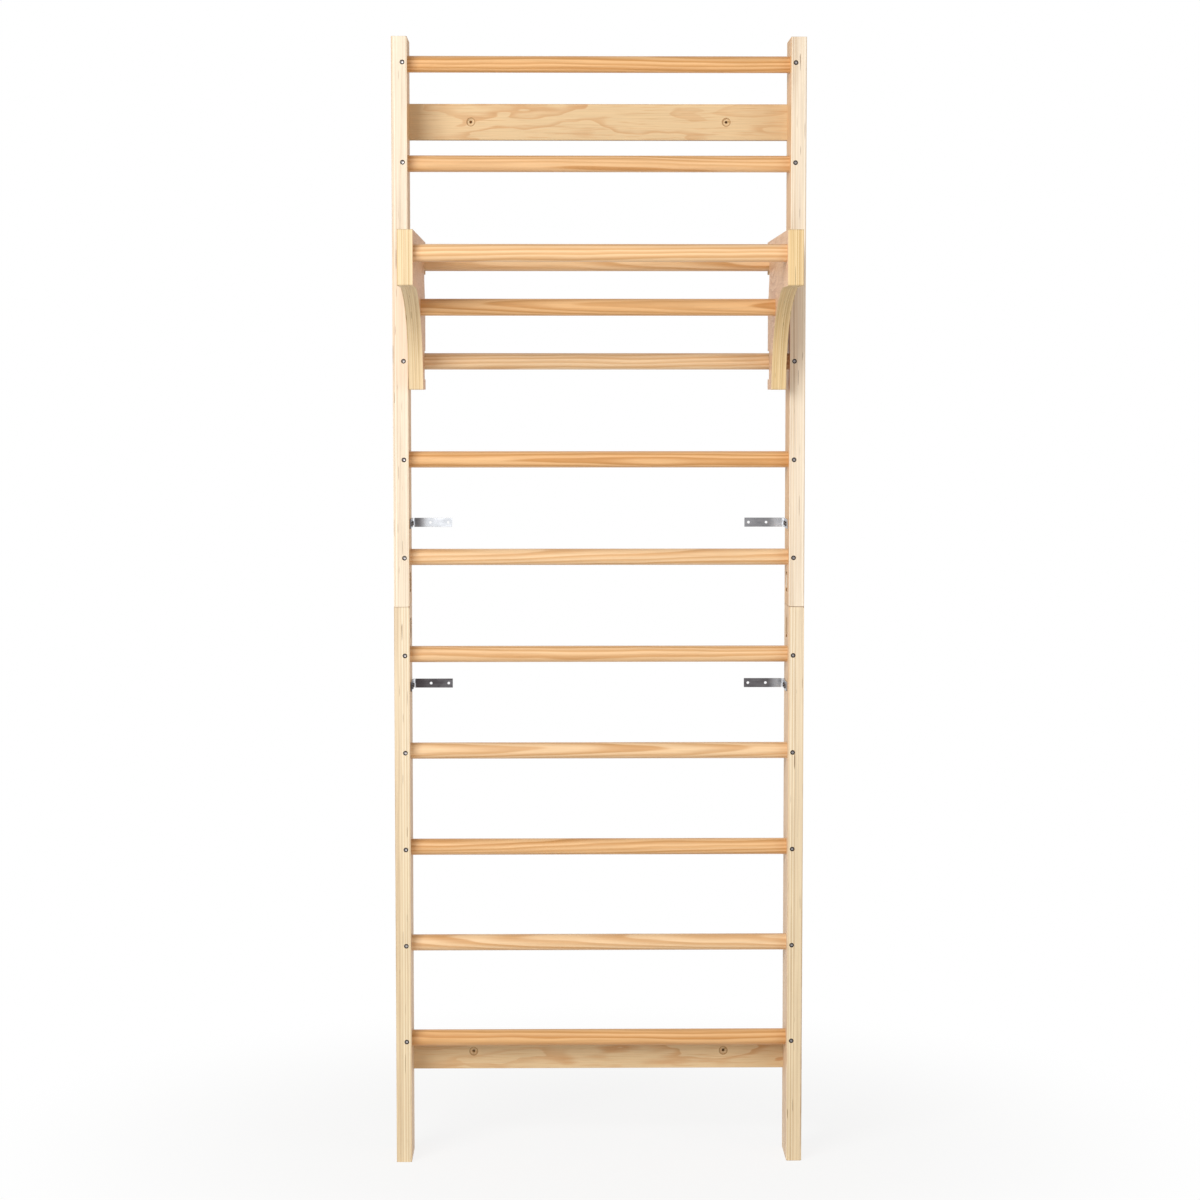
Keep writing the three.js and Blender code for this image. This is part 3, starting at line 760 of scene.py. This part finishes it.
def add_tie_bolt(side):
    """Head downwards below the seam, with the threaded end up through the nut."""
    node = f"tie_bolt_{side}"
    low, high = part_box(node)
    length = high.z - low.z
    core = BOLT_RADIUS - THREAD_DEPTH
    thread_start = length - THREAD_LENGTH
    shank = [(0, BOLT_HEAD / 2), (BOLT_RADIUS, BOLT_HEAD / 2), (BOLT_RADIUS, thread_start)]
    for turn in range(int(THREAD_LENGTH / THREAD_PITCH)):
        start = thread_start + turn * THREAD_PITCH
        shank += [(core, start + THREAD_PITCH / 2), (BOLT_RADIUS, start + THREAD_PITCH)]
    shank += [(core, length), (0, length)]
    mesh = combined(mesh_of(node, hexagon(0, BOLT_HEAD)), lathe(shank, SCREW_SIDES), "UNION")
    place = centre_of(node)
    place.z = low.z
    add_piece(node, mesh, place, FRAME_BODY, steel_finish)


def add_tie_nut(side):
    node = f"tie_nut_{side}"
    low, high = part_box(node)
    height = high.z - low.z
    mesh = mesh_of(node, hexagon(0, height))
    bore = [(0, -height), (NUT_BORE, -height), (NUT_BORE, 2 * height), (0, 2 * height)]
    place = centre_of(node)
    place.z = low.z
    mesh = combined(mesh, lathe(bore, SCREW_SIDES), "DIFFERENCE")
    add_piece(node, mesh, place, FRAME_BODY, steel_finish)


for side in SIDES:
    add_tie_bolt(side)
    add_tie_nut(side)


# Rails, wall angles and pull-up plates

def add_rail(node):
    low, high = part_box(node)
    bm = from_node(node)
    rims = sharp_edges(bm, Z, (low.z, high.z))
    round_edges(bm, [e for e in rims if lies_on(e, Y, (low.y, high.y))], RAIL_EDGE)
    front = sharp_edges(bm, Y, (low.y,))
    round_edges(bm, [e for e in front if not lies_on(e, X, (low.x, high.x))], SINK_EDGE)
    add_shaped(node, bm, FRAME_BODY, rail_finish)


def add_angle(storey, side):
    node = f"angle_{storey}_{side}"
    low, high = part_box(node)
    bm = from_node(node)
    round_edges(bm, sharp_edges(bm, Z, (low.z, high.z)), ANGLE_EDGE)
    # The angle's tone and its bend tone paint its reflections
    piece = add_shaped(node, bm, FRAME_BODY, zinc_finish, ANGLE_PAINTED_REFLECTION[storey, side])
    piece[BEND_SIDE] = float(SIDES[side])
    piece[BEND_REFLECTION_PROPERTY] = BEND_PAINTED_REFLECTION[storey, side]


def add_plate(side):
    node = f"pull_up_plate_{side}"
    low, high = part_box(node)
    bars = [centre_of("pull_up_grip_bar"), centre_of("pull_up_brace_bar")]
    bm = from_node(node)

    def is_bore(edge):
        middle = (edge.verts[0].co + edge.verts[1].co) / 2
        return any((middle - bar).yz.length < BORE_REACH for bar in bars)

    def is_corner(edge):
        return is_sharp(edge) and edge.is_convex and not lies_on(edge, X, (low.x, high.x))

    round_edges(bm, [e for e in bm.edges if is_corner(e) and not is_bore(e)], PLATE_CORNER)
    rims = sharp_edges(bm, X, (low.x, high.x))
    round_edges(bm, [e for e in rims if not is_bore(e)], PLATE_EDGE)
    # The plate's tone paints its light and shade
    add_shaped(node, bm, UNIT_BODY, unit_finish, UNIT_PAINTED_LIGHT[side])


for storey in STOREYS:
    add_rail(f"rail_{storey}")
    for side in SIDES:
        add_angle(storey, side)
for side in SIDES:
    add_plate(side)


# Stage: a pale floor, white surroundings and soft lights

def white_to_lens(tree, lit, white):
    """Shows white where the camera, or a reflection, sees it, and the lit shader everywhere else."""
    path = tree.nodes.new("ShaderNodeLightPath")
    seen = path.outputs["Is Camera Ray"]
    for ray in ("Is Glossy Ray", "Is Transmission Ray"):
        either = tree.nodes.new("ShaderNodeMath")
        either.operation = "MAXIMUM"
        tree.links.new(seen, either.inputs[0])
        tree.links.new(path.outputs[ray], either.inputs[1])
        seen = either.outputs[0]
    return mixed_shader(tree, seen, lit, white)


def mixed_shader(tree, amount, first, second):
    mix = tree.nodes.new("ShaderNodeMixShader")
    for socket, source in zip(mix.inputs, (amount, first, second)):
        tree.links.new(source, socket)
    return mix.outputs[0]


def add_world():
    world = bpy.data.worlds.new("studio")
    world.use_nodes = True
    tree = world.node_tree
    tree.nodes.clear()
    lit = tree.nodes.new("ShaderNodeBackground")
    lit.inputs["Color"].default_value = WORLD_TINT
    lit.inputs["Strength"].default_value = WORLD_LIGHT
    white = tree.nodes.new("ShaderNodeBackground")
    white.inputs["Color"].default_value = WHITE
    output = tree.nodes.new("ShaderNodeOutputWorld")
    shown = white_to_lens(tree, lit.outputs[0], white.outputs[0])
    tree.links.new(shown, output.inputs["Surface"])
    bpy.context.scene.world = world


def floor_material():
    """A pale floor that takes a faint shadow near the feet and glows white further out."""
    material = bpy.data.materials.new("pale floor")
    material.use_nodes = True
    tree = material.node_tree
    tree.nodes.clear()
    lit = tree.nodes.new("ShaderNodeBsdfDiffuse")
    lit.inputs["Color"].default_value = FLOOR_TINT
    glow = tree.nodes.new("ShaderNodeEmission")
    place = tree.nodes.new("ShaderNodeTexCoord")
    away = tree.nodes.new("ShaderNodeVectorMath")
    away.operation = "LENGTH"
    tree.links.new(place.outputs["Object"], away.inputs[0])
    fade = tree.nodes.new("ShaderNodeMapRange")
    fade.interpolation_type = "SMOOTHSTEP"
    tree.links.new(away.outputs["Value"], fade.inputs[0])
    for socket, number in zip(fade.inputs[1:5], (FLOOR_NEAR, FLOOR_FAR, 1 - FLOOR_SHADOW, 1.0)):
        socket.default_value = number
    shadowed = mixed_shader(tree, fade.outputs[0], lit.outputs[0], glow.outputs[0])
    output = tree.nodes.new("ShaderNodeOutputMaterial")
    shown = white_to_lens(tree, lit.outputs[0], shadowed)
    tree.links.new(shown, output.inputs["Surface"])
    return material


def add_floor():
    bm = bmesh.new()
    corners = [(-1, -1), (1, -1), (1, 1), (-1, 1)]
    bm.faces.new([bm.verts.new((x * FLOOR_HALF, y * FLOOR_HALF, 0)) for x, y in corners])
    floor = bpy.data.objects.new("floor", mesh_of("floor", bm))
    floor.data.materials.append(floor_material())
    bpy.context.scene.collection.objects.link(floor)


def add_light(name, place, size, power):
    lamp = bpy.data.lights.new(name, "AREA")
    lamp.shape = "SQUARE"
    lamp.size = size
    lamp.energy = power
    obj = bpy.data.objects.new(name, lamp)
    obj.location = place
    obj.rotation_mode = "QUATERNION"
    obj.rotation_quaternion = (Vector(LIGHT_TARGET) - Vector(place)).to_track_quat("-Z", "Y")
    bpy.context.scene.collection.objects.link(obj)


def add_camera():
    lens = bpy.data.cameras.new("camera")
    lens.lens = CAMERA_LENS
    lens.sensor_width = CAMERA_SENSOR
    lens.clip_end = CAMERA_REACH
    camera = bpy.data.objects.new("camera", lens)
    turn = Matrix.Rotation(math.radians(CAMERA_YAW), 4, "Z")
    turn = turn @ Matrix.Rotation(math.radians(CAMERA_PITCH), 4, "X")
    turn = turn @ Matrix.Rotation(math.pi / 2, 4, "X")
    camera.matrix_world = Matrix.Translation(CAMERA_PLACE) @ turn
    bpy.context.scene.collection.objects.link(camera)
    bpy.context.scene.camera = camera


add_world()
add_floor()
for name, light in LIGHTS.items():
    add_light(name, **light)
add_camera()
bpy.context.scene.view_settings.view_transform = "Standard"
